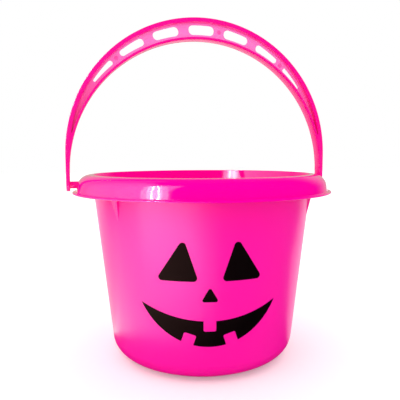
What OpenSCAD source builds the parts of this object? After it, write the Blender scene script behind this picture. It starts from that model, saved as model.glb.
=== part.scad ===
// Candy pail with a carved-pumpkin face and a swinging carrying handle, in millimetres.
// Z is up and the origin is the middle of the foot, on the floor. The handle's pins lie along X,
// and the side with the face looks along -Y.

/* [Pail] */
// Height from the floor to the top of the rim
pail_h = 141; // [120:1:180]
// Outer radius of the wall at the top of the rim
wall_top_r = 85.5; // [78:0.5:100]
// Outer radius of the wall, carried straight down to the floor
wall_base_r = 69.8; // [64:0.2:76]
// Thickness of the moulded wall
wall_t = 1.3; // [1:0.1:2]
// Outer radius of the rounded heel between wall and bottom
heel_r = 15; // [8:0.5:20]

/* [Foot] */
// Height of the foot ring, which is how far the bottom is raised
foot_h = 1.5; // [1:0.1:4]
// Width of the foot ring
foot_w = 2.2; // [1.5:0.1:5]
// How far the foot ring's outer side lies outside the flat of the bottom
foot_out = 1; // [0:0.1:2]
// Radius of the injection gate's mark under the bottom
gate_r = 2.5; // [1:0.1:5]
// Height of the injection gate's mark
gate_h = 0.6; // [0.3:0.1:0.9]

/* [Rim] */
// Height of the rim, from the underside of the lip to the top
rim_h = 14; // [13:0.5:20]
// How far the bottom of the skirt stands out from the wall's outside at the top
rim_reach = 11.9; // [11:0.1:16]
// How far the lip stands out from the skirt
lip_w = 2.6; // [1.5:0.1:5]
// Thickness of the lip
lip_t = 1.3; // [1:0.1:2]
// Radius of the shoulder between the top of the rim and its skirt
shoulder_r = 10; // [7:0.5:11]
// Slant of the skirt from the vertical, in degrees
skirt_slant = 10; // [4:1:15]
// Radius of the fillet between skirt and lip
lip_fillet = 1; // [0.5:0.1:1.5]

/* [Lugs under the rim] */
// Angle of each lug from the nearer handle pin, in degrees
lug_turn = 32; // [20:1:45]
// Length of a lug below the lip
lug_len = 16; // [8:1:24]
// Width of a lug at the lip
lug_w = 6.5; // [4:0.1:10]
// Width of a lug at its lower end
lug_tip_w = 1; // [0.6:0.1:2]
// How far a lug stands out from the wall, just under the lip
lug_proud = 2.2; // [1.2:0.1:4]
// Gap between each lug and the wall
lug_gap = 0.05; // [0.02:0.01:0.1]

/* [Pivots] */
// Depth of the handle pins' axis below the top of the rim
pin_drop = 7.4; // [6.5:0.1:8.5]
// Radius of a handle pin
pin_r = 2.6; // [2:0.1:3]
// Radial clearance of a pin in its bore
pin_clear = 0.08; // [0.05:0.01:0.1]
// Thickness of plastic round a pin's bore
boss_t = 2.6; // [1.8:0.1:3]
// Length of the boss, measured inwards from the bottom of the skirt
boss_len = 6.5; // [5.5:0.1:7]

/* [Handle] */
// Height of the handle, from its pins to the top of the arch
handle_h = 126.5; // [118:0.5:160]
// Radial thickness of the handle at the top of the arch
grip_t = 16.3; // [13:0.1:19]
// Width of the handle from front to back
strap_w = 9.5; // [8:0.1:12]
// Thickness of the straps at the pins
strap_t = 2.8; // [2.2:0.1:4]
// Gap between each strap and the lip
handle_gap = 1.2; // [0.8:0.1:2]
// Thickness of the handle's outer band
band_t = 3.3; // [2.5:0.1:4]
// Thickness of the handle's inner flange
flange_t = 1.8; // [1.2:0.1:2.5]
// Thickness of the web between band and flange
web_t = 1.6; // [1.2:0.1:3]

/* [Handle slots] */
// Angle from one slot to the next, in degrees
slot_pitch = 17; // [16:0.5:18]
// Angle that each slot spans, in degrees
slot_span = 12.2; // [9:0.2:13]
// Width of web left between the band and the slots
slot_top_margin = 1.5; // [1:0.1:2.5]
// Width of web left between the slots and the flange
slot_low_margin = 2.3; // [1:0.1:3]
// Corner radius of the slots
slot_corner_r = 3.4; // [1:0.1:3.5]
// Radius of the narrow tip of the last slot on each side
slot_tip_r = 1; // [0.4:0.1:1.2]
// Radius of the ejector marks on the web
mark_r = 1.6; // [0.8:0.1:2]
// Height of the ejector marks
mark_h = 0.3; // [0.2:0.1:0.6]

/* [Pin heads] */
// How far a pin's snap head stands out round the pin
head_lip = 0.7; // [0.4:0.1:1]
// Length of a snap head
head_len = 2.6; // [2:0.1:3]
// Gap between the boss and the snap head
head_gap = 0.3; // [0.2:0.1:0.5]
// Width of the slit that lets a snap head close up
slit_w = 1.2; // [0.8:0.1:1.6]
// Length of the slit, from the tip of the pin
slit_len = 7; // [5:0.5:9]

/* [Face] */
// Turn of the face about Z from the middle between the pins, in degrees
face_turn = -10.5; // [-30:0.5:30]
// Thickness of the face's film
film_t = 0.2; // [0.15:0.05:0.4]
// Gap between the film and the wall
film_gap = 0.05; // [0.02:0.01:0.1]
// Distance of each eye's middle from the middle of the face
eye_x = 21; // [18:0.5:26]
// Height of the eyes' lower edge above the floor
eye_z = 74; // [70:1:80]
// Width of an eye
eye_w = 25; // [20:0.5:30]
// Height of an eye
eye_h = 26; // [18:0.5:30]
// Lean of an eye's upper corner towards the middle of the face
eye_lean = 3; // [0:0.5:6]
// Corner radius of the eyes
eye_corner_r = 2.4; // [1:0.1:4]
// Height of the nose's lower edge above the floor
nose_z = 60; // [58:0.5:63]
// Width of the nose
nose_w = 10; // [8:0.5:16]
// Height of the nose
nose_h = 9; // [6:0.5:10]
// Corner radius of the nose
nose_corner_r = 1.2; // [0.5:0.1:1.5]

/* [Mouth] */
// Height of the mouth's corners above the floor
mouth_z = 57; // [52:0.5:58]
// Width of the mouth from corner to corner
mouth_w = 90; // [70:1:96]
// Depth of the mouth's lower edge below its corners
mouth_low = 28.5; // [26:0.5:32]
// Depth of the mouth's upper edge below its corners
mouth_high = 10.5; // [6:0.5:12]
// Width of a tooth
tooth_w = 8.5; // [6:0.5:10]
// Height of a tooth
tooth_h = 7.2; // [4:0.2:8]
// Distance of each lower tooth from the middle of the mouth
tooth_x = 15; // [12:0.5:20]
// Corner radius of the teeth
tooth_corner_r = 1.2; // [0.5:0.1:2]

/* [Hidden] */
$fn = 128;
PINK = [1, 0.02, 0.63];
BLACK = [0.05, 0.04, 0.05];

// Straight steps in each rounded corner, and in each long side of a slot
CORNER_STEPS = 8;

// One overrun for every cut, and one reach that is longer than the pail is wide
over = wall_t;
reach = pail_h + wall_top_r;

// Wall: its lean, and its outer radius at a height
wall_lean = atan((wall_top_r - wall_base_r) / pail_h);
function wall_at(z) = wall_base_r + z * tan(wall_lean);

// Heel: the height and radius of the middle of its round, and the radius where floor and wall meet
heel_z = foot_h + heel_r;
heel_mid = wall_at(heel_z) - heel_r / cos(wall_lean);
floor_r = heel_mid + foot_out;

// Rim: the lip's underside, the skirt's bottom and the middle of the shoulder's round
lip_z = pail_h - rim_h;
skirt_r = wall_top_r + rim_reach;
lip_r = skirt_r + lip_w;
shoulder_z = pail_h - shoulder_r;
skirt_top_z = shoulder_z + shoulder_r * sin(skirt_slant);
shoulder_mid = skirt_r - (skirt_top_z - lip_z) * tan(skirt_slant) - shoulder_r * cos(skirt_slant);

// Pins: their height, bore, boss and the place of the snap heads
pin_z = pail_h - pin_drop;
bore_r = pin_r + pin_clear;
boss_r = bore_r + boss_t;
boss_x = skirt_r - boss_len;
head_x = boss_x - head_gap;
head_r = pin_r + head_lip;
pin_end = head_x - head_len;

// Handle: its inner and outer half span, and the heights above the pins of the middles of its two curves
span_in = lip_r + handle_gap;
span_out = span_in + strap_t;
curve_in_z = handle_h - grip_t - span_in;
curve_out_z = handle_h - span_out;
curve_gap = curve_out_z - curve_in_z;
strap_end_r = strap_w / 2;

// Slots: the two curves that bound them, and where each one starts and ends
slot_out_r = span_out - band_t - slot_top_margin;
slot_in_r = span_in + flange_t + slot_low_margin;
slot_turns = [for (i = [-2:2]) i * slot_pitch];
end_slot_start = 3 * slot_pitch - slot_span / 2;
mark_turns = [-2.5 * slot_pitch, slot_pitch / 2, 2.5 * slot_pitch];

// Mouth: the radii of its lower and upper edges, from their chord and depth
function arc_r(chord, depth) = (chord * chord / 4 + depth * depth) / (2 * depth);
mouth_low_r = arc_r(mouth_w, mouth_low);
mouth_high_r = arc_r(mouth_w, mouth_high);
mouth_low_mid = mouth_z - mouth_low + mouth_low_r;
mouth_high_mid = mouth_z - mouth_high + mouth_high_r;

// The half section of the vessel's solid, drawn smaller by the inset, up to the given height
module vessel_section(inset, top_z) {
  side = inset / cos(wall_lean);
  low = foot_h + inset;
  tangent = heel_z - heel_r * sin(wall_lean);
  intersection() {
    union() {
      polygon([
        [0, low],
        [heel_mid, low],
        [heel_mid, heel_z],
        [wall_at(tangent) - side, tangent],
        [wall_at(top_z) - side, top_z],
        [0, top_z]
      ]);
      translate([heel_mid, heel_z]) circle(heel_r - inset);
    }
    square([reach, top_z]);
  }
}

// The half section of the rim's solid, from the top down to the given height, drawn smaller by the inset
module rim_section(inset, low_z) {
  round_r = shoulder_r - inset;
  tangent_r = shoulder_mid + round_r * cos(skirt_slant);
  tangent_z = shoulder_z + round_r * sin(skirt_slant);
  inner_r = wall_at(lip_z) - wall_t;
  polygon([
    [inner_r, low_z],
    [tangent_r + (tangent_z - low_z) * tan(skirt_slant), low_z],
    [tangent_r, tangent_z],
    [shoulder_mid, shoulder_z],
    [shoulder_mid, pail_h - inset],
    [inner_r, pail_h - inset]
  ]);
  intersection() {
    translate([shoulder_mid, shoulder_z]) circle(round_r);
    translate([shoulder_mid, shoulder_z]) square(round_r);
  }
}

// The half section of the lip, with its rounded edge and the fillet that joins it to the skirt
module lip_section() {
  inner_r = skirt_r - wall_t / cos(skirt_slant);
  edge_mid = lip_r - lip_t / 2;
  mid_z = lip_z + lip_t + lip_fillet;
  mid_r = skirt_r - (mid_z - lip_z) * tan(skirt_slant) + lip_fillet - wall_t / 10;
  translate([inner_r, lip_z]) square([edge_mid - inner_r, lip_t]);
  translate([edge_mid, lip_z + lip_t / 2]) circle(lip_t / 2);
  difference() {
    translate([skirt_r - wall_t, lip_z + lip_t / 2])
      square([mid_r - skirt_r + wall_t, lip_t / 2 + lip_fillet]);
    translate([mid_r, mid_z]) circle(lip_fillet);
  }
}

// The section of the wall's and floor's skin
module skin_section() {
  difference() {
    vessel_section(0, pail_h);
    vessel_section(wall_t, pail_h + over);
  }
}

// A turned part of the pail. The turn starts at the back.
module turned() {
  rotate([0, 0, 90]) rotate_extrude() children();
}

// The pail is one moulding, drawn as three bodies that touch: the floor inside the heel, the wall and the rim
module pail_floor() {
  color(PINK) {
    turned() difference() {
      union() {
        skin_section();
        translate([floor_r - foot_w, 0]) square([foot_w + over, foot_h + wall_t / 2]);
      }
      translate([floor_r, -over]) square(reach);
    }
    translate([0, 0, foot_h - gate_h]) cylinder(h = gate_h + wall_t / 2, r = gate_r);
  }
}

module pail_wall() {
  color(PINK) turned() difference() {
    skin_section();
    translate([-over, -over]) square([floor_r + over, heel_z + over]);
  }
}

// The rolled rim with its open underside and its lip
module rim_ring() {
  turned() difference() {
    union() {
      rim_section(0, lip_z);
      lip_section();
    }
    vessel_section(0, pail_h + over);
    rim_section(wall_t, lip_z - over);
  }
}

// A boss behind the skirt, open to the rim's underside, which carries one handle pin
module pivot_boss() {
  sector = 2 * asin((boss_r + over) / boss_x);
  intersection() {
    union() {
      translate([boss_x, 0, pin_z]) rotate([0, 90, 0]) cylinder(h = boss_len + lip_w, r = boss_r);
      translate([boss_x, -boss_r, lip_z + wall_t / 2])
        cube([boss_len + lip_w, 2 * boss_r, pin_z - lip_z - wall_t / 2]);
    }
    rotate([0, 0, -sector / 2]) rotate_extrude(angle = sector) rim_section(wall_t / 2, lip_z + wall_t / 4);
  }
}

// The bore for one handle pin, open through the skirt
module pivot_bore() {
  translate([boss_x - over, 0, pin_z]) rotate([0, 90, 0])
    cylinder(h = boss_len + lip_w + over, r = bore_r);
}

// The part of a lug inside the rim, which joins wall, rim and skirt
module lug_core() {
  low_z = lip_z + wall_t / 4;
  sector = 2 * asin(lug_w / 2 / (wall_at(lip_z) + lug_proud));
  rotate([0, 0, -sector / 2]) rotate_extrude(angle = sector) intersection() {
    rim_section(wall_t / 2, low_z - over);
    polygon([
      [wall_at(low_z) - wall_t / 2, low_z],
      [wall_at(lip_z) + lug_proud, low_z],
      [lip_r, pail_h - rim_h / 3],
      [lip_r, pail_h + over],
      [wall_at(pail_h) - wall_t / 2, pail_h + over]
    ]);
  }
}

// The part of a lug below the rim, which tapers down along the wall
module lug() {
  low_z = lip_z - lug_len;
  top_z = lip_z + wall_t / 2;
  root = wall_t / 2;
  intersection() {
    translate([0, lug_w / 2, 0]) rotate([90, 0, 0]) linear_extrude(lug_w) polygon([
      [wall_at(low_z) - root, low_z],
      [wall_at(low_z), low_z],
      [wall_at(lip_z) + lug_proud, lip_z],
      [wall_at(lip_z) + lug_proud, top_z],
      [wall_at(lip_z) - root, top_z]
    ]);
    rotate([90, 0, 90]) linear_extrude(reach) polygon([
      [-lug_tip_w / 2, low_z],
      [lug_tip_w / 2, low_z],
      [lug_w / 2, lip_z],
      [lug_w / 2, top_z],
      [-lug_w / 2, top_z],
      [-lug_w / 2, lip_z]
    ]);
  }
}

// A whole lug, which follows the wall at a small gap and hangs from the rim
module rim_lug() {
  difference() {
    union() {
      lug_core();
      lug();
    }
    turned() vessel_section(-lug_gap, pail_h + over);
  }
}

module pail_rim() {
  color(PINK) difference() {
    union() {
      rim_ring();
      for (side = [0, 180]) rotate([0, 0, side]) {
        pivot_boss();
        for (turn = [-lug_turn, lug_turn]) rotate([0, 0, turn]) rim_lug();
      }
    }
    for (side = [0, 180]) rotate([0, 0, side]) pivot_bore();
  }
}

// Outline between the handle's two curves. Its straight straps go down to the given depth below the pins.
module arch_outline(depth) {
  difference() {
    union() {
      intersection() {
        translate([0, curve_out_z]) circle(span_out);
        translate([-span_out, curve_out_z]) square([2 * span_out, span_out + over]);
      }
      translate([-span_out, -depth]) square([2 * span_out, depth + curve_out_z]);
    }
    intersection() {
      translate([0, curve_in_z]) circle(span_in);
      translate([-span_in, curve_in_z]) square([2 * span_in, span_in + over]);
    }
    translate([-span_in, -depth - over]) square([2 * span_in, depth + over + curve_in_z]);
  }
}

// The crescent between a circle about the outer curve's middle and one about the inner curve's middle
module crescent(outer_r, inner_r) {
  difference() {
    translate([0, curve_out_z]) circle(outer_r);
    translate([0, curve_in_z]) circle(inner_r);
  }
}

// The distance from the outer curve's middle to a circle about the inner curve's middle, at an angle
function inner_dist(radius, turn) =
  sqrt(radius * radius - pow(curve_gap * sin(turn), 2)) - curve_gap * cos(turn);

// A point at a distance and an angle from the middle of the outer curve
function arch_point(dist, turn) = [dist * sin(turn), curve_out_z + dist * cos(turn)];

// The angle of a point from the vertical, about the middle of the inner curve
function inner_turn(point) = atan2(point[0], point[1] - curve_in_z);

// Points round a middle, from one angle to another, with or without the two end points
function arc_points(mid, radius, from, to, ends) = [
  for (k = [(ends ? 0 : 1):CORNER_STEPS - (ends ? 0 : 1)])
    let (turn = from + (to - from) * k / CORNER_STEPS) mid + radius * [sin(turn), cos(turn)]
];

// Half of the slot's height at an angle limits the corner radius there
function corner_at(turn) = min(slot_corner_r, 0.48 * (slot_out_r - inner_dist(slot_in_r, turn)));

// The middles of the outer and the inner corner at one end of a slot, which goes on in the given sense
function outer_mid(turn, sense, corner) =
  arch_point(slot_out_r - corner, turn + sense * asin(corner / (slot_out_r - corner)));
function inner_mid(turn, sense, corner) =
  let (step = asin(corner / inner_dist(slot_in_r + corner, turn)))
  arch_point(inner_dist(slot_in_r + corner, turn + sense * step), turn + sense * step);

// The rounded end of a slot where it starts, from its inner corner to its outer one
function slot_start(turn) =
  let (
    corner = corner_at(turn),
    low = inner_mid(turn, 1, corner),
    high = outer_mid(turn, 1, corner)
  )
  concat(
    arc_points(low, corner, inner_turn(low) + 180, turn + 270, true),
    arc_points(high, corner, turn + 270, 360 + turn + asin(corner / (slot_out_r - corner)), true)
  );

// A slot between two angles, with rounded corners
function slot_points(from, to) =
  let (
    corner = corner_at(to),
    low = inner_mid(to, -1, corner),
    high = outer_mid(to, -1, corner),
    out_from = from + asin(corner_at(from) / (slot_out_r - corner_at(from))),
    out_to = to - asin(corner / (slot_out_r - corner))
  )
  concat(
    slot_start(from),
    arc_points([0, curve_out_z], slot_out_r, out_from, out_to, false),
    arc_points(high, corner, out_to, to + 90, true),
    arc_points(low, corner, to + 90, 180 + inner_turn(low), true),
    arc_points([0, curve_in_z], slot_in_r, inner_turn(low), inner_turn(inner_mid(from, 1, corner_at(from))), false)
  );

// The last slot on one side, which narrows with the handle to a small round tip
function end_slot_points() =
  let (
    from = end_slot_start,
    corner = corner_at(from),
    tip_r = min(slot_tip_r, (slot_out_r - inner_dist(slot_in_r, from)) / 3),
    out = slot_out_r - tip_r,
    in = slot_in_r + tip_r,
    to = acos((in * in - out * out - curve_gap * curve_gap) / (2 * out * curve_gap)),
    tip = arch_point(out, to)
  )
  concat(
    slot_start(from),
    arc_points([0, curve_out_z], slot_out_r, from + asin(corner / (slot_out_r - corner)), to, false),
    arc_points(tip, tip_r, to, 180 + inner_turn(tip), true),
    arc_points([0, curve_in_z], slot_in_r, inner_turn(tip), inner_turn(inner_mid(from, 1, corner)), false)
  );

// A solid that has an outline in X and Z, centred on Y
module upright(width) {
  translate([0, width / 2, 0]) rotate([90, 0, 0]) linear_extrude(width) children();
}

// One pin with its slit snap head, pointing inwards from the strap at +X
module pin() {
  tip = head_len / 3;
  difference() {
    rotate([0, 90, 0]) rotate_extrude() polygon([
      [0, pin_end],
      [pin_r - tip / 2, pin_end],
      [head_r, head_x - tip],
      [head_r, head_x],
      [pin_r, head_x],
      [pin_r, span_in + strap_t / 2],
      [0, span_in + strap_t / 2]
    ]);
    translate([pin_end - over, -slit_w / 2, -head_r - over])
      cube([slit_len + over, slit_w, 2 * head_r + 2 * over]);
  }
}

module handle() {
  pocket = (strap_w - web_t) / 2;
  color(PINK) translate([0, 0, pin_z]) {
    difference() {
      intersection() {
        upright(strap_w) arch_outline(strap_end_r);
        translate([-reach, 0, 0]) rotate([90, 0, 90]) linear_extrude(2 * reach) {
          circle(strap_end_r);
          translate([-strap_end_r, 0]) square([strap_w, handle_h + over]);
        }
      }
      for (side = [0, 180]) rotate([0, 0, side]) translate([0, -web_t / 2 - pocket / 2 - over / 2, 0])
        upright(pocket + over) crescent(span_out - band_t, span_in + flange_t);
      upright(strap_w) {
        for (turn = slot_turns) polygon(slot_points(turn - slot_span / 2, turn + slot_span / 2));
        polygon(end_slot_points());
        mirror([1, 0]) polygon(end_slot_points());
      }
    }
    for (turn = mark_turns) {
      dist = (slot_out_r + inner_dist(slot_in_r, turn)) / 2;
      translate([dist * sin(turn), -web_t / 2 - mark_h, curve_out_z + dist * cos(turn)])
        rotate([-90, 0, 0]) cylinder(h = mark_h + web_t / 2, r = mark_r);
    }
    for (side = [0, 180]) rotate([0, 0, side]) pin();
  }
}

// The points of a shape with rounded corners, from the middles of its corners, counter-clockwise
function soft_points(mids, corner) = [
  for (i = [0:len(mids) - 1])
    let (
      count = len(mids),
      before = mids[i] - mids[(i + count - 1) % count],
      after = mids[(i + 1) % count] - mids[i],
      start = atan2(before[1], before[0]) - 90,
      turn = (atan2(after[1], after[0]) - atan2(before[1], before[0]) + 360) % 360
    )
    for (k = [0:CORNER_STEPS])
      let (angle = start + turn * k / CORNER_STEPS) mids[i] + corner * [cos(angle), sin(angle)]
];

// The middles of the rounded corners of a triangle that is w wide and h high, its top moved by lean
function triangle_mids(w, h, lean, corner) = [
  [-w / 2 + corner, corner],
  [w / 2 - corner, corner],
  [lean, h - corner]
];

module eye_outline(side) {
  translate([side * eye_x, eye_z])
    polygon(soft_points(triangle_mids(eye_w, eye_h, -side * eye_lean, eye_corner_r), eye_corner_r));
}

module nose_outline() {
  translate([0, nose_z])
    polygon(soft_points(triangle_mids(nose_w, nose_h, 0, nose_corner_r), nose_corner_r));
}

// A tooth that stands up from y = 0, with its upper corners rounded, and runs on below as its root
module tooth() {
  flat = tooth_w - 2 * tooth_corner_r;
  translate([-tooth_w / 2, -tooth_h]) square([tooth_w, 2 * tooth_h - tooth_corner_r]);
  translate([-flat / 2, 0]) square([flat, tooth_h]);
  for (side = [-1, 1]) translate([side * flat / 2, tooth_h - tooth_corner_r]) circle(tooth_corner_r);
}

// A crescent grin with one tooth in its upper edge and two in its lower edge
module mouth_outline() {
  tilt = asin(tooth_x / mouth_low_r);
  difference() {
    translate([0, mouth_low_mid]) circle(mouth_low_r);
    translate([0, mouth_high_mid]) circle(mouth_high_r);
    translate([0, mouth_z - mouth_high]) mirror([0, 1]) tooth();
    for (side = [-1, 1]) translate([0, mouth_low_mid]) rotate(side * tilt)
      translate([0, -mouth_low_r]) tooth();
  }
}

// A film on the wall with the given outline, seen from in front of the face
module film() {
  low_z = heel_z;
  inner = wall_at(low_z) + film_gap;
  color(BLACK) rotate([0, 0, face_turn]) intersection() {
    rotate([90, 0, 0]) linear_extrude(reach) children();
    rotate_extrude() polygon([
      [inner, low_z],
      [inner + film_t, low_z],
      [wall_at(lip_z) + film_gap + film_t, lip_z],
      [wall_at(lip_z) + film_gap, lip_z]
    ]);
  }
}

module left_eye_decal() {
  film() eye_outline(-1);
}

module right_eye_decal() {
  film() eye_outline(1);
}

module nose_decal() {
  film() nose_outline();
}

module mouth_decal() {
  film() mouth_outline();
}

pail_floor();
pail_wall();
pail_rim();
handle();
left_eye_decal();
right_eye_decal();
nose_decal();
mouth_decal();
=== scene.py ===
from math import acos, asin, atan, atan2, cos, degrees, pi, radians, sin, sqrt, tan, tau

import bmesh
import bpy
from mathutils import Matrix, Vector


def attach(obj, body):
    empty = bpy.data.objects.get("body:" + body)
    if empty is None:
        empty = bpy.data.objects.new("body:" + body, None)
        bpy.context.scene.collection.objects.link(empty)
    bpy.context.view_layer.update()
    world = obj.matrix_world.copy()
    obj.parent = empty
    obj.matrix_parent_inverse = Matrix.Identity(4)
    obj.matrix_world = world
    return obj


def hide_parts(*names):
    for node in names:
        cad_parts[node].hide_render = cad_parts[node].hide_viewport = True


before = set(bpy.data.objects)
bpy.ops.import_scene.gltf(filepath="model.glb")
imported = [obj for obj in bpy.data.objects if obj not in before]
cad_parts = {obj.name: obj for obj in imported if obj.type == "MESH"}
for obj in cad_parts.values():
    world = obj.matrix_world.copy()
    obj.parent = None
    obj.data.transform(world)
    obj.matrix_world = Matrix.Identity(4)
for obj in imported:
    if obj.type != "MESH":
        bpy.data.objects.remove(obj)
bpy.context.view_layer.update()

# PAIL BODY
# One injection moulding in hot pink polypropylene: a leaning wall on a round heel, a narrow foot ring,
# and a rolled rim with a skirt and a thin lip. The mould's core leaves the rim open from below.
MM = 0.001
PAIL_H, WALL_TOP_R, WALL_BASE_R, WALL_T, HEEL_R = 141.0, 85.5, 69.8, 1.3, 15.0
FOOT_H, FOOT_W, FOOT_OUT, GATE_R, GATE_H = 1.5, 2.2, 1.0, 2.5, 0.6
LIP_Z, SKIRT_R, LIP_R, LIP_T, LIP_FILLET = 127.0, 97.4, 100.0, 1.3, 1.0
SHOULDER_R, SKIRT_SLANT = 10.0, 10.0
FOOT_EDGE, STEP_EDGE, HOLLOW_EDGE, SKIRT_EDGE, MOUTH_EDGE = 0.6, 0.4, 0.6, 0.3, 0.55
TURNED_STEPS, PAIL_SHARP_FROM = 192, 32
WELD, NEAR = 1e-7, 1e-6
WALL_LEAN = degrees(atan((WALL_TOP_R - WALL_BASE_R) / PAIL_H))
LEAN, SLANT = radians(WALL_LEAN), radians(SKIRT_SLANT)
HEEL_Z = FOOT_H + HEEL_R
HEEL_MID = WALL_BASE_R + HEEL_Z * tan(LEAN) - HEEL_R / cos(LEAN)
SHOULDER_Z = PAIL_H - SHOULDER_R
SHOULDER_MID = (SKIRT_R - (SHOULDER_Z + SHOULDER_R * sin(SLANT) - LIP_Z) * tan(SLANT)
                - SHOULDER_R * cos(SLANT))


def wall_at(z):
    return WALL_BASE_R + z * tan(LEAN)


# A section is drawn in X and Z, by straight lines and by turns round a middle, and is then turned round Z
def start_line(x, z):
    line = bmesh.new()
    return line, line.verts.new((x * MM, 0, z * MM))


def line_to(line, last, x, z):
    drawn = bmesh.ops.extrude_vert_indiv(line, verts=[last])["verts"][0]
    drawn.co = (x * MM, 0, z * MM)
    return drawn


def round_by(line, last, mid_x, mid_z, turn, steps):
    swept = bmesh.ops.spin(line, geom=[last], cent=(mid_x * MM, 0, mid_z * MM), axis=(0, -1, 0),
                           dvec=(0, 0, 0), angle=radians(turn), steps=steps, use_merge=False,
                           use_duplicate=False)
    return [v for v in swept["geom_last"] if isinstance(v, bmesh.types.BMVert)][0]


def turned(line, steps):
    bmesh.ops.spin(line, geom=line.verts[:] + line.edges[:], cent=(0, 0, 0), axis=(0, 0, 1), dvec=(0, 0, 0),
                   angle=tau, steps=steps, use_merge=True, use_duplicate=False)
    bmesh.ops.remove_doubles(line, verts=line.verts[:], dist=WELD)
    bmesh.ops.recalc_face_normals(line, faces=line.faces[:])


def soften_ring(shell, r, z, width):
    ring = [e for e in shell.edges if all(abs(Vector((v.co.x, v.co.y)).length - r * MM) < 2 * NEAR
                                          and abs(v.co.z - z * MM) < 2 * NEAR for v in e.verts)]
    bmesh.ops.bevel(shell, geom=ring, offset=width * MM, segments=3, profile=0.5, affect="EDGES",
                    material=-1, clamp_overlap=True)


def finished(shape, name):
    mesh = bpy.data.meshes.new(name)
    shape.to_mesh(mesh)
    shape.free()
    for face in mesh.polygons:
        face.use_smooth = True
    mesh.set_sharp_from_angle(angle=radians(PAIL_SHARP_FROM))
    piece = bpy.data.objects.new(name, mesh)
    bpy.context.scene.collection.objects.link(piece)
    return piece


foot_out_r = HEEL_MID + FOOT_OUT
foot_in_r = foot_out_r - FOOT_W
foot_meets_z = HEEL_Z - sqrt(HEEL_R ** 2 - FOOT_OUT ** 2)
hollow_top = PAIL_H - WALL_T
skirt_in_r = SHOULDER_MID + (SHOULDER_R - WALL_T) / cos(SLANT) + (SHOULDER_Z - LIP_Z) * tan(SLANT)
fillet_z = LIP_Z + LIP_T + LIP_FILLET
fillet_r = SKIRT_R - (fillet_z - LIP_Z) * tan(SLANT) + LIP_FILLET / cos(SLANT)
inner_top_r = wall_at(PAIL_H) - WALL_T / cos(LEAN)
inner_heel_r = HEEL_R - WALL_T
shell, end = start_line(0, FOOT_H)
end = line_to(shell, end, foot_in_r, FOOT_H)
end = line_to(shell, end, foot_in_r, 0)
end = line_to(shell, end, foot_out_r, 0)
end = line_to(shell, end, foot_out_r, foot_meets_z)
end = round_by(shell, end, HEEL_MID, HEEL_Z, 90 - WALL_LEAN - degrees(asin(FOOT_OUT / HEEL_R)), 18)
end = line_to(shell, end, wall_at(LIP_Z), LIP_Z)
end = line_to(shell, end, wall_at(hollow_top), hollow_top)
end = line_to(shell, end, SHOULDER_MID, hollow_top)
end = round_by(shell, end, SHOULDER_MID, SHOULDER_Z, SKIRT_SLANT - 90, 14)
end = line_to(shell, end, skirt_in_r, LIP_Z)
end = line_to(shell, end, LIP_R - LIP_T / 2, LIP_Z)
end = round_by(shell, end, LIP_R - LIP_T / 2, LIP_Z + LIP_T / 2, 180, 8)
end = line_to(shell, end, fillet_r, LIP_Z + LIP_T)
end = round_by(shell, end, fillet_r, fillet_z, SKIRT_SLANT - 90, 6)
end = line_to(shell, end, SHOULDER_MID + SHOULDER_R * cos(SLANT), SHOULDER_Z + SHOULDER_R * sin(SLANT))
end = round_by(shell, end, SHOULDER_MID, SHOULDER_Z, 90 - SKIRT_SLANT, 16)
end = line_to(shell, end, inner_top_r, PAIL_H)
end = line_to(shell, end, HEEL_MID + inner_heel_r * cos(LEAN), HEEL_Z - inner_heel_r * sin(LEAN))
end = round_by(shell, end, HEEL_MID, HEEL_Z, WALL_LEAN - 90, 18)
end = line_to(shell, end, 0, FOOT_H + WALL_T)
turned(shell, TURNED_STEPS)
for ring_r, ring_z, width in ((foot_in_r, 0, FOOT_EDGE), (foot_out_r, 0, FOOT_EDGE),
                              (foot_in_r, FOOT_H, STEP_EDGE), (wall_at(hollow_top), hollow_top, HOLLOW_EDGE),
                              (skirt_in_r, LIP_Z, SKIRT_EDGE), (inner_top_r, PAIL_H, MOUTH_EDGE)):
    soften_ring(shell, ring_r, ring_z, width)
pail_body = finished(shell, "pail_moulding")

# LUGS, BOSSES, BORES AND GATE MARK
# Four tapering lugs tie the wall to the rim and keep stacked pails apart. Two bosses behind the skirt carry
# the handle's pins, and a gate mark is left under the bottom. All are shot with the pail, as parts of it.
LUG_TURN, LUG_LEN, LUG_W, LUG_TIP_W, LUG_PROUD = 32, 16.0, 6.5, 1.0, 2.2
LUG_FOOT_PROUD, LUG_CORE_H, LUG_EDGE = 0.1, 6.3, 0.5
RIDGE_PROUD, RIDGE_RISE, SLACK = 0.05, 2.0, 1.0
PIN_Z, PIN_R, PIN_CLEAR, BOSS_T, BOSS_LEN = 133.6, 2.6, 0.08, 2.6, 6.5
BORE_MID, BORE_LEN = 96.5, 14.0
SKIN = SHOULDER_R - WALL_T / 2


def middle_of_skin(z):
    if z < SHOULDER_Z + SKIN * sin(SLANT):
        return SHOULDER_MID + SKIN / cos(SLANT) + (SHOULDER_Z - z) * tan(SLANT)
    return SHOULDER_MID + sqrt(SKIN ** 2 - (z - SHOULDER_Z) ** 2)


def fill(line):
    line.verts.ensure_lookup_table()
    line.faces.new(line.verts)


def push_out(line):
    pushed = bmesh.ops.extrude_face_region(line, geom=line.faces[:])["geom"]
    return ([v for v in pushed if isinstance(v, bmesh.types.BMVert)],
            [f for f in pushed if isinstance(f, bmesh.types.BMFace)])


def shift(shape, x, y, z):
    bmesh.ops.translate(shape, verts=shape.verts[:], vec=(x * MM, y * MM, z * MM))


def rotate(shape, turn, axis="Z", about_z=0):
    bmesh.ops.rotate(shape, verts=shape.verts[:], cent=(0, 0, about_z * MM),
                     matrix=Matrix.Rotation(radians(turn), 3, axis))


def round_bar(r, length, segments, place):
    bar = bmesh.new()
    bmesh.ops.create_cone(bar, cap_ends=True, segments=segments, radius1=r * MM, radius2=r * MM,
                          depth=length * MM, matrix=place)
    return bar


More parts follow.
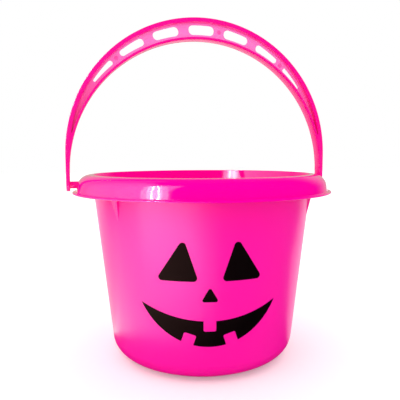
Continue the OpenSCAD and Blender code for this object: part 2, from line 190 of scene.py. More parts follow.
def fuse(piece, others, operation):
    for other in others:
        step = piece.modifiers.new("fuse", "BOOLEAN")
        step.operation, step.object, step.solver = operation, other, "EXACT"
    fused = bpy.data.meshes.new_from_object(piece.evaluated_get(bpy.context.evaluated_depsgraph_get()))
    piece.modifiers.clear()
    plain, piece.data = piece.data, fused
    fused.name = plain.name + "_fused"
    bpy.data.meshes.remove(plain)
    for other in others:
        bpy.data.objects.remove(other)


additions = []
lug_low_z, lug_core_z = LIP_Z - LUG_LEN, LIP_Z + LUG_CORE_H
for side in (0, 180):
    for turn in (-LUG_TURN, LUG_TURN):
        lug, end = start_line(wall_at(lug_low_z) - WALL_T / 2, lug_low_z)
        end = line_to(lug, end, wall_at(lug_low_z) + LUG_FOOT_PROUD, lug_low_z)
        end = line_to(lug, end, wall_at(LIP_Z) + LUG_PROUD, LIP_Z)
        end = line_to(lug, end, middle_of_skin(lug_core_z), lug_core_z)
        end = round_by(lug, end, SHOULDER_MID, SHOULDER_Z,
                       90 - degrees(asin((lug_core_z - SHOULDER_Z) / SKIN)), 8)
        end = line_to(lug, end, wall_at(PAIL_H) - WALL_T / 2, PAIL_H - WALL_T / 2)
        end = line_to(lug, end, wall_at(LIP_Z) - WALL_T / 2, LIP_Z)
        fill(lug)
        bmesh.ops.connect_verts(lug, verts=[v for v in lug.verts if abs(v.co.z - LIP_Z * MM) < WELD])
        moved, _ = push_out(lug)
        bmesh.ops.translate(lug, verts=moved, vec=(0, LUG_W * MM, 0))
        shift(lug, 0, -LUG_W / 2, 0)
        tip = [v for v in lug.verts if v.co.z < (lug_low_z + SLACK) * MM]
        bmesh.ops.scale(lug, verts=tip, vec=(1, LUG_TIP_W / LUG_W, 1))
        bmesh.ops.recalc_face_normals(lug, faces=lug.faces[:])
        outside = {v for v in lug.verts if v.co.x > (wall_at(v.co.z / MM) + RIDGE_PROUD) * MM}
        ridges = [e for e in lug.edges if outside.issuperset(e.verts)
                  and abs(e.verts[0].co.z - e.verts[1].co.z) > RIDGE_RISE * MM
                  and max(v.co.z for v in e.verts) < (LIP_Z + SLACK) * MM]
        bmesh.ops.bevel(lug, geom=ridges, offset=LUG_EDGE * MM, segments=3, profile=0.5, affect="EDGES",
                        material=-1, clamp_overlap=True)
        rotate(lug, side + turn)
        additions.append(finished(lug, f"lug_{side + turn}"))

    boss_r = PIN_R + PIN_CLEAR + BOSS_T
    boss, end = start_line(-boss_r, LIP_Z + WALL_T / 2)
    end = line_to(boss, end, boss_r, LIP_Z + WALL_T / 2)
    end = line_to(boss, end, boss_r, PIN_Z)
    end = round_by(boss, end, 0, PIN_Z, 180, 24)
    fill(boss)
    rotate(boss, 90)
    shift(boss, SKIRT_R - BOSS_LEN, 0, 0)
    moved, cap = push_out(boss)
    for v in moved + bmesh.ops.poke(boss, faces=cap)["verts"]:
        v.co.x = sqrt((middle_of_skin(v.co.z / MM) * MM) ** 2 - v.co.y ** 2)
    bmesh.ops.recalc_face_normals(boss, faces=boss.faces[:])
    rotate(boss, side)
    additions.append(finished(boss, f"boss_{side}"))

gate_len = GATE_H + WALL_T / 2
gate = round_bar(GATE_R, gate_len, 48, Matrix.Translation((0, 0, (FOOT_H - GATE_H + gate_len / 2) * MM)))
additions.append(finished(gate, "gate_mark"))
fuse(pail_body, additions, "UNION")

bores = []
for side in (0, 180):
    along_x = (Matrix.Rotation(radians(side), 4, "Z") @ Matrix.Translation((BORE_MID * MM, 0, PIN_Z * MM))
               @ Matrix.Rotation(radians(90), 4, "Y"))
    bores.append(finished(round_bar(PIN_R + PIN_CLEAR, BORE_LEN, 64, along_x), f"bore_{side}"))
fuse(pail_body, bores, "DIFFERENCE")
pail_body.data.set_sharp_from_angle(angle=radians(PAIL_SHARP_FROM))


# Injection-moulded polypropylene, hot pink and slightly translucent. The wall has a satin spark-eroded finish
# and the rim is polished, so that windows show as sharp streaks on it and as a broad glow on the wall. Where
# the melt cooled unevenly it is clouded, 50 mm from cloud to cloud. Scuffs of 1 mm or so are drawn at 4 mm,
# the least that this picture can hold.
CLOUD, SCUFF, SCUFF_ROUGH = 50, 4, 0.03


def linear(hex_colour):
    parts = [int(hex_colour[i:i + 2], 16) / 255 for i in (0, 2, 4)]
    return tuple(c / 12.92 if c <= 0.04045 else ((c + 0.055) / 1.055) ** 2.4 for c in parts) + (1.0,)


def add_node(tree, kind, settings={}, inputs={}):
    new = tree.nodes.new(kind)
    for name, value in settings.items():
        setattr(new, name, value)
    for name, value in inputs.items():
        if isinstance(value, bpy.types.NodeSocket):
            tree.links.new(value, new.inputs[name])
        else:
            new.inputs[name].default_value = value
    return new


def moulded_pink(name, deep, pale, satin_below, satin, gloss, web=None):
    material = bpy.data.materials.new(name)
    material.use_nodes = True
    tree = material.node_tree
    tree.nodes.clear()
    place = add_node(tree, "ShaderNodeTexCoord").outputs["Object"]
    height = add_node(tree, "ShaderNodeSeparateXYZ", {}, {"Vector": place}).outputs["Z"]
    cloud = add_node(tree, "ShaderNodeTexNoise", {},
                     {"Vector": place, "Scale": 1 / (CLOUD * MM), "Detail": 3.0}).outputs["Fac"]
    scuff = add_node(tree, "ShaderNodeTexNoise", {},
                     {"Vector": place, "Scale": 1 / (SCUFF * MM), "Detail": 4.0}).outputs["Fac"]
    colour = add_node(tree, "ShaderNodeMix", {"data_type": "RGBA"},
                      {0: cloud, 6: linear(deep), 7: linear(pale)}).outputs[2]
    # Where given, light shining through the handle's web is painted into the colour here
    if web:
        colour = web(tree, place, colour)
    finish = add_node(tree, "ShaderNodeMapRange", {}, {
        "Value": height, "From Min": satin_below - MM, "From Max": satin_below, "To Min": satin,
        "To Max": gloss}).outputs["Result"]
    rough = add_node(tree, "ShaderNodeMath", {"operation": "MULTIPLY_ADD"},
                     {0: scuff, 1: SCUFF_ROUGH, 2: finish})
    ripple = add_node(tree, "ShaderNodeBump", {}, {"Height": cloud, "Strength": 0.05, "Distance": 0.0004})
    shader = add_node(tree, "ShaderNodeBsdfPrincipled", {}, {
        "Base Color": colour, "Roughness": rough.outputs[0], "Normal": ripple.outputs["Normal"], "IOR": 1.49,
        "Specular IOR Level": 0.35, "Specular Tint": linear("ffbfff"), "Subsurface Weight": 0.12,
        "Subsurface Scale": 0.004, "Subsurface Radius": (1.0, 0.15, 0.5)})
    add_node(tree, "ShaderNodeOutputMaterial", {}, {"Surface": shader.outputs["BSDF"]})
    return material


pail_body.data.materials.clear()
pail_body.data.materials.append(moulded_pink("moulded_polypropylene_pail", "fb009d", "ff02a3", LIP_Z * MM,
                                             satin=0.29, gloss=0.03))
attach(pail_body, "pail")
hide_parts("pail_floor", "pail_wall", "pail_rim")

# HANDLE
# One moulding of the same polypropylene: an arch of I section with a row of slots in its web, two thin
# straps, and a snap pin at each end. The arch is thickest at the grip and runs out into the straps.
HANDLE_H, GRIP_T, STRAP_W, STRAP_T, HANDLE_GAP = 126.5, 16.3, 9.5, 2.8, 1.2
BAND_T, FLANGE_T, WEB_T = 3.3, 1.8, 1.6
ARCH_EDGE, ARCH_STEPS, END_LEFT_FLAT, TOUCHING, EDGE_FROM = 0.55, 120, 0.02, 0.01, 60
SPAN_IN = LIP_R + HANDLE_GAP
SPAN_OUT = SPAN_IN + STRAP_T
CURVE_IN_Z = PIN_Z + HANDLE_H - GRIP_T - SPAN_IN
CURVE_OUT_Z = PIN_Z + HANDLE_H - SPAN_OUT
CURVE_GAP = CURVE_OUT_Z - CURVE_IN_Z
STRAP_END_R = STRAP_W / 2
STRAP_END_Z = PIN_Z - STRAP_END_R


def prism(line, depth, y):
    if not line.faces:
        fill(line)
    moved, _ = push_out(line)
    bmesh.ops.translate(line, verts=moved, vec=(0, depth * MM, 0))
    shift(line, 0, y, 0)
    bmesh.ops.recalc_face_normals(line, faces=line.faces[:])
    return line


def sharp_edges(shape, wanted):
    return [e for e in shape.edges if e.is_manifold and e.calc_face_angle_signed() > radians(EDGE_FROM)
            and all(wanted(v.co / MM) for v in e.verts)]


def soften(shape, edges, width, segments):
    bmesh.ops.bevel(shape, geom=edges, offset=width * MM, segments=segments, profile=0.5, affect="EDGES",
                    material=-1, clamp_overlap=False)


arch, end = start_line(SPAN_OUT, STRAP_END_Z)
end = line_to(arch, end, SPAN_OUT, CURVE_OUT_Z)
end = round_by(arch, end, 0, CURVE_OUT_Z, 180, ARCH_STEPS)
end = line_to(arch, end, -SPAN_OUT, STRAP_END_Z)
end = line_to(arch, end, -SPAN_IN, STRAP_END_Z)
end = line_to(arch, end, -SPAN_IN, CURVE_IN_Z)
end = round_by(arch, end, 0, CURVE_IN_Z, -180, ARCH_STEPS)
end = line_to(arch, end, SPAN_IN, STRAP_END_Z)
arch = prism(arch, STRAP_W, -STRAP_W / 2)
ends = [e for e in arch.edges if abs(e.verts[0].co.y - e.verts[1].co.y) < NEAR
        and all(v.co.z < (STRAP_END_Z + TOUCHING) * MM for v in e.verts)]
soften(arch, ends, STRAP_END_R - END_LEFT_FLAT, 10)
soften(arch, sharp_edges(arch, lambda at: True), ARCH_EDGE, 3)
handle = finished(arch, "handle_moulding")

# The pins are part of the moulding. Each has a slit through its snap head, which springs behind the boss.
HEAD_LIP, HEAD_LEN, HEAD_GAP, SLIT_W, SLIT_LEN, SLIT_H = 0.7, 2.6, 0.3, 1.2, 7.0, 20.0
head_x = SKIRT_R - BOSS_LEN - HEAD_GAP
pin_end = head_x - HEAD_LEN
tip = HEAD_LEN / 3
pins = []
for side in (0, 180):
    pin, end = start_line(0, pin_end)
    end = line_to(pin, end, PIN_R - tip / 2, pin_end)
    end = line_to(pin, end, PIN_R + HEAD_LIP, head_x - tip)
    end = line_to(pin, end, PIN_R + HEAD_LIP, head_x)
    end = line_to(pin, end, PIN_R, head_x)
    end = line_to(pin, end, PIN_R, SPAN_IN + STRAP_T / 2)
    end = line_to(pin, end, 0, SPAN_IN + STRAP_T / 2)
    turned(pin, 48)
    rotate(pin, 90, "Y")
    shift(pin, 0, 0, PIN_Z)
    rotate(pin, side)
    pin = finished(pin, f"pin_{side}")
    slit = bmesh.new()
    bmesh.ops.create_cube(slit, size=MM)
    bmesh.ops.scale(slit, verts=slit.verts[:], vec=(2 * SLIT_LEN, SLIT_W, SLIT_H))
    shift(slit, pin_end, 0, PIN_Z)
    rotate(slit, side)
    fuse(pin, [finished(slit, f"slit_{side}")], "DIFFERENCE")
    pins.append(pin)

# The pockets on both sides leave the web, the slots go through it, and small ejector marks stand on one side
SLOT_PITCH, SLOT_SPAN, SLOT_TOP_MARGIN, SLOT_LOW_MARGIN = 17.0, 12.2, 1.5, 2.3
SLOT_CORNER_R, SLOT_TIP_R, CORNER_SHARE = 3.4, 1.0, 0.48
MARK_R, MARK_H, POCKET_TIP_R, OVERRUN = 1.6, 0.3, 0.4, 1.0
pocket_out, pocket_in = SPAN_OUT - BAND_T, SPAN_IN + FLANGE_T
slot_out, slot_in = pocket_out - SLOT_TOP_MARGIN, pocket_in + SLOT_LOW_MARGIN


def inner_dist(radius, turn):
    return sqrt(radius ** 2 - (CURVE_GAP * sin(radians(turn))) ** 2) - CURVE_GAP * cos(radians(turn))


def arch_point(dist, turn):
    return dist * sin(radians(turn)), CURVE_OUT_Z + dist * cos(radians(turn))


def tapered_outline(out_r, in_r, turn_from, tip_r, steps):
    out, inner = out_r - tip_r, in_r + tip_r
    tip_turn = degrees(acos((inner ** 2 - out ** 2 - CURVE_GAP ** 2) / (2 * out * CURVE_GAP)))
    tip_x, tip_z = arch_point(out, tip_turn)
    tip_in = degrees(atan2(tip_x, tip_z - CURVE_IN_Z))
    start_x, start_z = arch_point(inner_dist(in_r, turn_from), turn_from)
    start_in = degrees(atan2(start_x, start_z - CURVE_IN_Z))
    line, first = start_line(*arch_point(out_r, turn_from))
    last = round_by(line, first, 0, CURVE_OUT_Z, turn_from - tip_turn, steps)
    last = round_by(line, last, tip_x, tip_z, tip_turn - tip_in - 180, 6)
    last = round_by(line, last, 0, CURVE_IN_Z, tip_in - start_in, steps)
    line.faces.new(line.verts)
    return line, first, last


def round_corners(slot, corners, turn):
    corner = min(SLOT_CORNER_R, CORNER_SHARE * (slot_out - inner_dist(slot_in, turn)))
    bmesh.ops.bevel(slot, geom=corners, offset=corner * MM, segments=6, profile=0.5, affect="VERTICES",
                    material=-1, clamp_overlap=False)


def through_web(slot, name):
    return finished(prism(slot, WEB_T + 2 * OVERRUN, -WEB_T / 2 - OVERRUN), name)


cuts = []
for name, from_y in (("back_pocket", WEB_T / 2), ("front_pocket", -STRAP_W / 2 - OVERRUN)):
    pocket, _, _ = tapered_outline(pocket_out, pocket_in, 0, POCKET_TIP_R, 60)
    bmesh.ops.mirror(pocket, geom=pocket.verts[:] + pocket.edges[:] + pocket.faces[:], axis="X",
                     merge_dist=NEAR)
    cuts.append(finished(prism(pocket, (STRAP_W - WEB_T) / 2 + OVERRUN, from_y), name))
for turn in (-2 * SLOT_PITCH, -SLOT_PITCH, 0, SLOT_PITCH, 2 * SLOT_PITCH):
    low, high = turn - SLOT_SPAN / 2, turn + SLOT_SPAN / 2
    high_x, high_z = arch_point(inner_dist(slot_in, high), high)
    low_x, low_z = arch_point(inner_dist(slot_in, low), low)
    swing = degrees(atan2(high_x, high_z - CURVE_IN_Z) - atan2(low_x, low_z - CURVE_IN_Z))
    slot, low_out = start_line(*arch_point(slot_out, low))
    high_out = round_by(slot, low_out, 0, CURVE_OUT_Z, low - high, 4)
    high_in = line_to(slot, high_out, high_x, high_z)
    low_in = round_by(slot, high_in, 0, CURVE_IN_Z, swing, 4)
    slot.faces.new(slot.verts)
    round_corners(slot, [low_out, low_in], low)
    round_corners(slot, [high_out, high_in], high)
    cuts.append(through_web(slot, f"slot_{turn:.0f}"))
for side in (-1, 1):
    start = 2 * SLOT_PITCH + SLOT_SPAN / 2 + SLOT_PITCH - SLOT_SPAN
    slot_tip_r = min(SLOT_TIP_R, (slot_out - inner_dist(slot_in, start)) / 3)
    slot, first, last = tapered_outline(slot_out, slot_in, start, slot_tip_r, 6)
    round_corners(slot, [first, last], start)
    bmesh.ops.scale(slot, verts=slot.verts[:], vec=(side, 1, 1))
    cuts.append(through_web(slot, f"end_slot_{side}"))
marks, mark_places = [], []
mark_len = MARK_H + WEB_T / 2
for turn in (-2.5 * SLOT_PITCH, 0.5 * SLOT_PITCH, 2.5 * SLOT_PITCH):
    mark_x, mark_z = arch_point((slot_out + inner_dist(slot_in, turn)) / 2, turn)
    along_y = (Matrix.Translation((mark_x * MM, -mark_len / 2 * MM, mark_z * MM))
               @ Matrix.Rotation(radians(90), 4, "X"))
    marks.append(finished(round_bar(MARK_R, mark_len, 32, along_y), f"ejector_mark_{turn:.0f}"))
    mark_places.append((mark_x, mark_z))
front_pocket = cuts[1]
fuse(front_pocket, marks, "DIFFERENCE")
fuse(handle, cuts, "DIFFERENCE")

FLANGE_EDGE, WEB_EDGE, HANDLE_SHARP_FROM = 0.35, 0.25, 35
rims = bmesh.new()
rims.from_mesh(handle.data)
soften(rims, sharp_edges(rims, lambda at: abs(at.y) > STRAP_W / 2 - TOUCHING), FLANGE_EDGE, 2)
soften(rims, sharp_edges(rims, lambda at: abs(abs(at.y) - WEB_T / 2) < TOUCHING), WEB_EDGE, 2)
for pin in pins:
    rims.from_mesh(pin.data)
    bpy.data.objects.remove(pin)
rims.to_mesh(handle.data)
rims.free()
for face in handle.data.polygons:
    face.use_smooth = True
handle.data.set_sharp_from_angle(angle=radians(HANDLE_SHARP_FROM))

# The web between the pockets is so thin that daylight comes through it, and this light is painted into its
# colour:
# it is painted paler pink, most of all at the top, fading out partway over the pocket walls. The ejector
# marks are thicker and get less of the painted light, so they stay darker.
PAINTED_GLOW_FROM_Z, PAINTED_GLOW_TO_Z, WEB_SIDE, WEB_SKIN, FADE, MARK_FADE, MARK_SHARE = 150, 230, 4.5, 0.9, 0.5, 0.3, 0.45


def web_painted_glow(tree, place, colour):
    def between(value, low, high, least=0.0, kind="SMOOTHSTEP"):
        return add_node(tree, "ShaderNodeMapRange", {"interpolation_type": kind}, {
            "Value": value, "From Min": low * MM, "From Max": high * MM, "To Min": least}).outputs[0]

    def distance(mid_z, mid_x=0):
        flat = add_node(tree, "ShaderNodeMapping", {},
                        {"Vector": place, "Location": (-mid_x * MM, 0, -mid_z * MM), "Scale": (1, 0, 1)})
        length = add_node(tree, "ShaderNodeVectorMath", {"operation": "LENGTH"}, {0: flat.outputs[0]})
        return length.outputs["Value"]

    at = add_node(tree, "ShaderNodeSeparateXYZ", {}, {"Vector": place})
    off_middle = add_node(tree, "ShaderNodeMath", {"operation": "ABSOLUTE"}, {0: at.outputs["Y"]}).outputs[0]
    share = between(at.outputs["Z"], PAINTED_GLOW_FROM_Z, PAINTED_GLOW_TO_Z, kind="LINEAR")
    masks = [between(off_middle, WEB_SIDE, WEB_SKIN),
             between(distance(CURVE_OUT_Z), pocket_out + FADE, pocket_out - FADE),
             between(distance(CURVE_IN_Z), pocket_in - FADE, pocket_in + FADE)]
    masks += [between(distance(z, x), MARK_R - FADE, MARK_R + MARK_FADE, MARK_SHARE) for x, z in mark_places]
    for mask in masks:
        share = add_node(tree, "ShaderNodeMath", {"operation": "MULTIPLY"}, {0: share, 1: mask}).outputs[0]
    # Mix in the paler pink that paints the daylight shining through the web
    return add_node(tree, "ShaderNodeMix", {"data_type": "RGBA"},
                    {0: share, 6: colour, 7: linear("ff86d4")}).outputs[2]


handle.data.materials.clear()
handle.data.materials.append(moulded_pink("moulded_polypropylene_handle", "f50090", "ff0098", 0,
                                          satin=0.2, gloss=0.2, web=web_painted_glow))
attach(handle, "handle")
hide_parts("handle")

# FACE FILMS
# Four pieces of satin black vinyl film, cut to a simple pumpkin face and pressed onto the wall, a little to
# the left of the middle between the handle's pins.
FACE_TURN, FILM_T, FILM_GAP, FILM_STEP, FILM_STEPS = -10.5, 0.2, 0.05, 1.5, 32
EYE_X, EYE_Z, EYE_W, EYE_H, EYE_LEAN, EYE_CORNER_R = 21.0, 74.0, 25.0, 26.0, 3.0, 2.4
NOSE_Z, NOSE_W, NOSE_H, NOSE_CORNER_R = 60.0, 10.0, 9.0, 1.2
MOUTH_Z, MOUTH_W, MOUTH_LOW, MOUTH_HIGH = 57.0, 90.0, 28.5, 10.5
TOOTH_W, TOOTH_H, TOOTH_X, TOOTH_CORNER_R = 8.5, 7.2, 15.0, 1.2
GRAIN, PATCH = 0.9, 14

# Cut vinyl film, calendered and satin: nearly black, with a dull sheen that a fine grain breaks up, and
# patches 14 mm across where it was rubbed on. Its real grain of about 0.3 mm is drawn at 0.9 mm, the least
# that this picture can hold.
vinyl = bpy.data.materials.new("cut_vinyl_film")
vinyl.use_nodes = True
tree = vinyl.node_tree
tree.nodes.clear()
place = add_node(tree, "ShaderNodeTexCoord").outputs["Object"]
grain = add_node(tree, "ShaderNodeTexNoise", {},
                 {"Vector": place, "Scale": 1 / (GRAIN * MM), "Detail": 2.0}).outputs["Fac"]
patch = add_node(tree, "ShaderNodeTexNoise", {},
                 {"Vector": place, "Scale": 1 / (PATCH * MM), "Detail": 3.0}).outputs["Fac"]
black = add_node(tree, "ShaderNodeMix", {"data_type": "RGBA"},
                 {0: patch, 6: linear("030102"), 7: linear("0c0608")}).outputs[2]
rough = add_node(tree, "ShaderNodeMapRange", {},
                 {"Value": grain, "To Min": 0.38, "To Max": 0.56}).outputs["Result"]
pits = add_node(tree, "ShaderNodeBump", {},
                {"Height": grain, "Strength": 0.4, "Distance": 0.0001}).outputs["Normal"]
shader = add_node(tree, "ShaderNodeBsdfPrincipled", {}, {
    "Base Color": black, "Roughness": rough, "Normal": pits, "IOR": 1.5, "Specular IOR Level": 0.03,
    "Specular Tint": linear("ffb0b8")})
add_node(tree, "ShaderNodeOutputMaterial", {}, {"Surface": shader.outputs["BSDF"]})


# A flat outline is cut into strips, laid round the wall, thickened and turned to the face's place
def press_on(film, name, node):
    bmesh.ops.recalc_face_normals(film, faces=film.faces[:])
    for step in range(-FILM_STEPS, FILM_STEPS + 1):
        bmesh.ops.bisect_plane(film, geom=film.verts[:] + film.edges[:] + film.faces[:], dist=WELD,
                               plane_co=(step * FILM_STEP * MM, 0, 0), plane_no=(1, 0, 0),
                               use_snap_center=False)
    for v in film.verts:
        v.co.y = -sqrt(((wall_at(v.co.z / MM) + FILM_GAP) * MM) ** 2 - v.co.x ** 2)
    for face in film.faces:
        if face.normal.y > 0:
            face.normal_flip()
    film.normal_update()
    bmesh.ops.solidify(film, geom=film.faces[:], thickness=-FILM_T * MM)
    bmesh.ops.recalc_face_normals(film, faces=film.faces[:])
    rotate(film, FACE_TURN)
    piece = finished(film, name)
    piece.data.materials.append(vinyl)
    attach(piece, "pail")
    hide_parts(node)


def soft_triangle(mid_x, low_z, w, h, lean, corner):
    film = bmesh.new()
    for x, z in ((-w / 2 + corner, corner), (w / 2 - corner, corner), (lean, h - corner)):
        bmesh.ops.create_circle(film, cap_ends=False, segments=64, radius=corner * MM,
                                matrix=Matrix.Translation(((mid_x + x) * MM, 0, (low_z + z) * MM))
                                @ Matrix.Rotation(radians(90), 4, "X"))
    hull = bmesh.ops.convex_hull(film, input=film.verts[:], use_existing_faces=False)
    bmesh.ops.delete(film, geom=list({g for g in hull["geom_interior"] + hull["geom_unused"]
                                      if isinstance(g, bmesh.types.BMVert)}), context="VERTS")
    bmesh.ops.dissolve_limit(film, angle_limit=radians(1), verts=[], edges=film.edges[:])
    return film


def arc_r(chord, depth):
    return (chord ** 2 / 4 + depth ** 2) / (2 * depth)


for side, name in ((-1, "left_eye"), (1, "right_eye")):
    press_on(soft_triangle(side * EYE_X, EYE_Z, EYE_W, EYE_H, -side * EYE_LEAN, EYE_CORNER_R),
             name + "_film", name + "_decal")
press_on(soft_triangle(0, NOSE_Z, NOSE_W, NOSE_H, 0, NOSE_CORNER_R), "nose_film", "nose_decal")

# The mouth is one film: a crescent between two arcs, with one tooth in its upper edge and two in its lower
BLANK_DEPTH, CUTTER_DEPTH, FACES_FRONT = 10.0, 14.0, -0.9
low_r, high_r = arc_r(MOUTH_W, MOUTH_LOW), arc_r(MOUTH_W, MOUTH_HIGH)
low_mid, high_mid = MOUTH_Z - MOUTH_LOW + low_r, MOUTH_Z - MOUTH_HIGH + high_r
half_low = degrees(atan2(MOUTH_W / 2, low_mid - MOUTH_Z))
half_high = degrees(atan2(MOUTH_W / 2, high_mid - MOUTH_Z))
mouth, end = start_line(-MOUTH_W / 2, MOUTH_Z)
end = round_by(mouth, end, 0, low_mid, 2 * half_low, 72)
end = round_by(mouth, end, 0, high_mid, -2 * half_high, 48)
bmesh.ops.remove_doubles(mouth, verts=mouth.verts[:], dist=NEAR)
mouth = finished(prism(mouth, BLANK_DEPTH, -BLANK_DEPTH / 2), "mouth_blank")
teeth = []
tooth_turn = degrees(asin(TOOTH_X / low_r))
for turn, mid, edge in ((0, high_mid, MOUTH_Z - MOUTH_HIGH), (tooth_turn, low_mid, low_mid - low_r),
                        (-tooth_turn, low_mid, low_mid - low_r)):
    tooth = bmesh.new()
    bmesh.ops.create_grid(tooth, x_segments=1, y_segments=1, size=MM / 2)
    bmesh.ops.scale(tooth, verts=tooth.verts[:], vec=(TOOTH_W, 2 * TOOTH_H, 1))
    tips = [v for v in tooth.verts if v.co.y > 0]
    bmesh.ops.bevel(tooth, geom=tips, offset=TOOTH_CORNER_R * MM, segments=6, profile=0.5,
                    affect="VERTICES", material=-1, clamp_overlap=False)
    rotate(tooth, 90 if turn else -90, "X")
    shift(tooth, 0, 0, edge)
    rotate(tooth, -turn, "Y", mid)
    teeth.append(finished(prism(tooth, CUTTER_DEPTH, -CUTTER_DEPTH / 2), f"tooth_{turn:.0f}"))
fuse(mouth, teeth, "DIFFERENCE")
film = bmesh.new()
film.from_mesh(mouth.data)
bpy.data.objects.remove(mouth)
bmesh.ops.delete(film, geom=[f for f in film.faces if f.normal.y >= FACES_FRONT], context="FACES")
press_on(film, "mouth_film", "mouth_decal")

# STUDIO FLOOR
# A sheet of white paper under the pail and all round it. It is lit by the room, and a little glow of its own
# keeps it white in the picture and in the plastic's mirror image.
SHEET_HALF, SHEET_Z = 4.0, -0.0002
floor_mesh = bmesh.new()
bmesh.ops.create_grid(floor_mesh, x_segments=1, y_segments=1, size=SHEET_HALF,
                      matrix=Matrix.Translation((0, 0, SHEET_Z)))
floor = finished(floor_mesh, "floor")
sheet = bpy.data.materials.new("white_paper_sheet")
sheet.use_nodes = True
tree = sheet.node_tree
tree.nodes.clear()
path = add_node(tree, "ShaderNodeLightPath")
seen = add_node(tree, "ShaderNodeMath", {"operation": "MAXIMUM"},
                {0: path.outputs["Is Camera Ray"], 1: path.outputs["Is Glossy Ray"]})
seen = add_node(tree, "ShaderNodeMath", {"operation": "MAXIMUM"},
                {0: seen.outputs[0], 1: path.outputs["Is Transmission Ray"]})
paper = add_node(tree, "ShaderNodeBsdfDiffuse", {}, {"Color": (0.9, 0.9, 0.9, 1)})
glow_strength = add_node(tree, "ShaderNodeMath", {"operation": "MULTIPLY"}, {0: seen.outputs[0], 1: 0.2})
glow = add_node(tree, "ShaderNodeEmission", {}, {"Color": (1, 1, 1, 1), "Strength": glow_strength.outputs[0]})
both = add_node(tree, "ShaderNodeAddShader", {}, {0: paper.outputs[0], 1: glow.outputs[0]})
add_node(tree, "ShaderNodeOutputMaterial", {}, {"Surface": both.outputs[0]})
floor.data.materials.append(sheet)

# STUDIO ROOM
# The room around the sheet, as the plastic mirrors it: white behind the pail, dark round the camera, and a
# bright window wall to the camera's left. The camera itself sees white on every side. What the gloss sees is
# slightly yellow, because the plastic's own gloss is pink, so that highlights come out white.
VIEW_TURN = 14.45  # turn of the camera round the pail, in degrees
world = bpy.data.worlds.new("studio")
world.use_nodes = True
bpy.context.scene.world = world
tree = world.node_tree
tree.nodes.clear()


def smooth_step(value, low, high, least=0.0):
    return add_node(tree, "ShaderNodeMapRange", {"interpolation_type": "SMOOTHSTEP"}, {
        "Value": value, "From Min": low, "From Max": high, "To Min": least}).outputs[0]


path = add_node(tree, "ShaderNodeLightPath")
towards = add_node(tree, "ShaderNodeTexCoord").outputs["Generated"]
from_view = add_node(tree, "ShaderNodeMapping", {},
                     {"Vector": towards, "Rotation": (0, 0, radians(VIEW_TURN))}).outputs[0]
level = add_node(tree, "ShaderNodeMapping", {}, {"Vector": from_view, "Scale": (1, 1, 0)}).outputs[0]
round_about = add_node(tree, "ShaderNodeVectorMath", {"operation": "NORMALIZE"}, {0: level}).outputs[0]
sides = add_node(tree, "ShaderNodeSeparateXYZ", {}, {"Vector": round_about})
up = add_node(tree, "ShaderNodeSeparateXYZ", {}, {"Vector": from_view}).outputs["Z"]
behind = add_node(tree, "ShaderNodeMath", {"operation": "MULTIPLY"},
                  {0: smooth_step(sides.outputs["Y"], low=0.48, high=0.85, least=0.02),
                   1: smooth_step(up, low=0.65, high=0.3, least=0.1)})
window = add_node(tree, "ShaderNodeMapRange", {}, {
    "Value": sides.outputs["Y"], "From Min": 0.6, "From Max": -0.8, "To Min": 1.0, "To Max": 12.0})
at_left = add_node(tree, "ShaderNodeMath", {"operation": "MULTIPLY"},
                   {0: smooth_step(sides.outputs["X"], low=-0.42, high=-0.52),
                    1: smooth_step(up, low=0.94, high=0.86)})
mirrored = add_node(tree, "ShaderNodeMix", {},
                    {0: at_left.outputs[0], 2: behind.outputs[0], 3: window.outputs[0]})
other = add_node(tree, "ShaderNodeMix", {},
                 {0: path.outputs["Is Glossy Ray"], 2: 1.0, 3: mirrored.outputs[0]})
lit = add_node(tree, "ShaderNodeMix", {}, {0: path.outputs["Is Diffuse Ray"], 2: other.outputs[0], 3: 1.18})
tone = add_node(tree, "ShaderNodeMix", {"data_type": "RGBA"},
                {0: path.outputs["Is Glossy Ray"], 6: (1, 1, 1, 1), 7: (0.55, 0.55, 0.43, 1)})
room = add_node(tree, "ShaderNodeBackground", {}, {"Color": tone.outputs[2], "Strength": lit.outputs[0]})
add_node(tree, "ShaderNodeOutputWorld", {}, {"Surface": room.outputs[0]})

# STUDIO CARDS
# Thin sheets on the floor that only the gloss sees. The wall leans outwards, so it mirrors the floor: dark
# in front and to the right, and a pool of window light to the left, whose parts run round the pail from the
# camera's right to behind. Places are in metres, as seen from the camera, with the pail's axis at zero.
DARK_Z, POOL_Z, BRIGHTEST_Z = 0.0002, 0.0005, 0.0008
DARK_CORNERS = ((0.02, 0.03), (0.3, -0.09), (0.42, -0.24), (0.62, -0.45), (1.2, -0.45), (1.4, 0.2),
                (0.8, 1.4), (-0.8, 1.4), (-1.4, 0.2), (-0.6, -0.3))
# Each edge of the pool: its turn from the camera in degrees, its nearest and its farthest distance
POOL_EDGES = ((11, 0.166, 0.35), (0, 0.145, 0.37), (-15, 0.124, 0.42), (-35, 0.116, 0.6), (-50, 0.115, 0.8),
              (-60, 0.114, 0.62), (-80, 0.106, 0.52), (-100, 0.09, 0.52), (-122, 0.085, 0.56),
              (-140, 0.085, 0.9))
POOL_BRIGHTNESS = (6, 8.8, 10, 9.5, 9.7, 7.2, 4.8, 2.5, 2.0)
BRIGHTEST_CORNERS = ((-0.02, 0.25), (-0.03, 0.36), (-0.11, 0.41), (-0.34, 0.49), (-0.6, 0.5),
                     (-0.54, 0.3), (-0.26, 0.15))


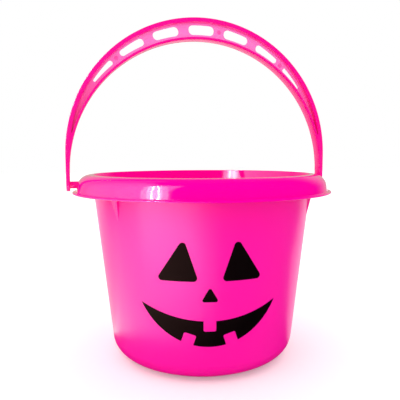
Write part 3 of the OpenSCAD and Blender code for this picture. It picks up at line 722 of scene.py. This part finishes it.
def card(name, corners, height, brightness):
    flat = bmesh.new()
    flat.faces.new([flat.verts.new((x, -y, 0)) for x, y in corners])
    rotate(flat, -VIEW_TURN)
    bmesh.ops.translate(flat, verts=flat.verts[:], vec=(0, 0, height))
    piece = finished(flat, name)
    for ray in ("camera", "diffuse", "transmission", "shadow", "volume_scatter"):
        setattr(piece, "visible_" + ray, False)
    stuff = bpy.data.materials.new(name)
    stuff.use_nodes = True
    stuff.node_tree.nodes.clear()
    shine = add_node(stuff.node_tree, "ShaderNodeEmission", {},
                     {"Color": (0.55, 0.55, 0.42, 1), "Strength": brightness})
    add_node(stuff.node_tree, "ShaderNodeOutputMaterial", {}, {"Surface": shine.outputs[0]})
    piece.data.materials.append(stuff)


card("dark_card", DARK_CORNERS, DARK_Z, brightness=0.02)
for (turn, near, far), (next_turn, next_near, next_far), brightness in zip(
        POOL_EDGES, POOL_EDGES[1:], POOL_BRIGHTNESS):
    reach = ((near, turn), (far, turn), (next_far, next_turn), (next_near, next_turn))
    card(f"bright_card_{-turn}", [(r * sin(radians(t)), r * cos(radians(t))) for r, t in reach], POOL_Z,
         brightness)
card("brightest_card", BRIGHTEST_CORNERS, BRIGHTEST_Z, brightness=17.0)

# STUDIO LAMPS
# One soft lamp, and four upright windows inside one another, which only the gloss sees: two narrow bright
# strips and a wide soft glow round them. Each window is in two lengths, because the rim bends its mirror
# image. Turns are in degrees from the camera's direction, heights and widths in metres.
LAMP_R, LOW_Z, MIDDLE_Z, HIGH_Z = 1.1, 0.25, 0.9, 1.75
# Each window: its turns at the three heights, its width and its brightness
WINDOWS = (("strip_near", (-34.0, -39.2, -55.5), 0.022, 210.0),
           ("strip_far", (-40.0, -45.2, -61.5), 0.022, 210.0),
           ("glow_near", (-37.6, -43, -59), 0.27, 26.0), ("glow_wide", (-38, -43, -58), 0.48, 16.0))


def lamp(name, low, high, wide, brightness):
    ends = [Vector((sin(radians(turn - VIEW_TURN)) * LAMP_R, -cos(radians(turn - VIEW_TURN)) * LAMP_R,
                    height)) for turn, height in (low, high)]
    along, middle = ends[1] - ends[0], (ends[0] + ends[1]) / 2
    from_rim = middle - Vector((0, 0, PIN_Z * MM))
    back = (from_rim - from_rim.project(along)).normalized()
    across = along.cross(back).normalized()
    light = bpy.data.lights.new(name, "AREA")
    light.shape, light.size, light.size_y = "RECTANGLE", wide, along.length
    light.energy = brightness * pi * wide * along.length
    there = bpy.data.objects.new(name, light)
    bpy.context.scene.collection.objects.link(there)
    facing_rim = Matrix((across, along.normalized(), back)).transposed().to_4x4()
    there.matrix_world = Matrix.Translation(middle) @ facing_rim
    return there


lamp("soft_key", (-55, 0.3), (-55, 1.2), wide=0.9, brightness=0.6)
for name, turns, wide, brightness in WINDOWS:
    for half, low_z, high_z in ((0, LOW_Z, MIDDLE_Z), (1, MIDDLE_Z, HIGH_Z)):
        pane = lamp(f"{name}_{half}", (turns[half], low_z), (turns[half + 1], high_z), wide, brightness)
        pane.visible_diffuse = False
        pane.data.color = (0.55, 0.55, 0.31)

# CAMERA
# Fitted to the photograph: a normal lens close to the pail, a little above its rim, with the handle's left
# end nearer to it. Turn in degrees, tilt and roll in radians, places in metres.
SENSOR, PHOTO_PIXELS, FOCAL_PIXELS = 36.0, 400, 469.1
CAMERA_R, CAMERA_Z, CAMERA_TURN, CAMERA_TILT, CAMERA_ROLL = 0.3742, 0.155, 0.21, 0.0942, -0.0035
camera_data = bpy.data.cameras.new("camera")
camera_data.sensor_width = SENSOR
camera_data.lens = FOCAL_PIXELS / PHOTO_PIXELS * SENSOR
camera_data.clip_start = 0.01
camera = bpy.data.objects.new("camera", camera_data)
bpy.context.scene.collection.objects.link(camera)
sight = (Matrix.Rotation(radians(-VIEW_TURN + CAMERA_TURN), 4, "Z")
         @ Matrix.Rotation(radians(90) - CAMERA_TILT, 4, "X"))
spot = (-CAMERA_R * sin(radians(VIEW_TURN)), -CAMERA_R * cos(radians(VIEW_TURN)), CAMERA_Z)
camera.matrix_world = Matrix.Translation(spot) @ sight @ Matrix.Rotation(CAMERA_ROLL, 4, "Z")
bpy.context.scene.camera = camera
bpy.context.scene.view_settings.view_transform = "Standard"
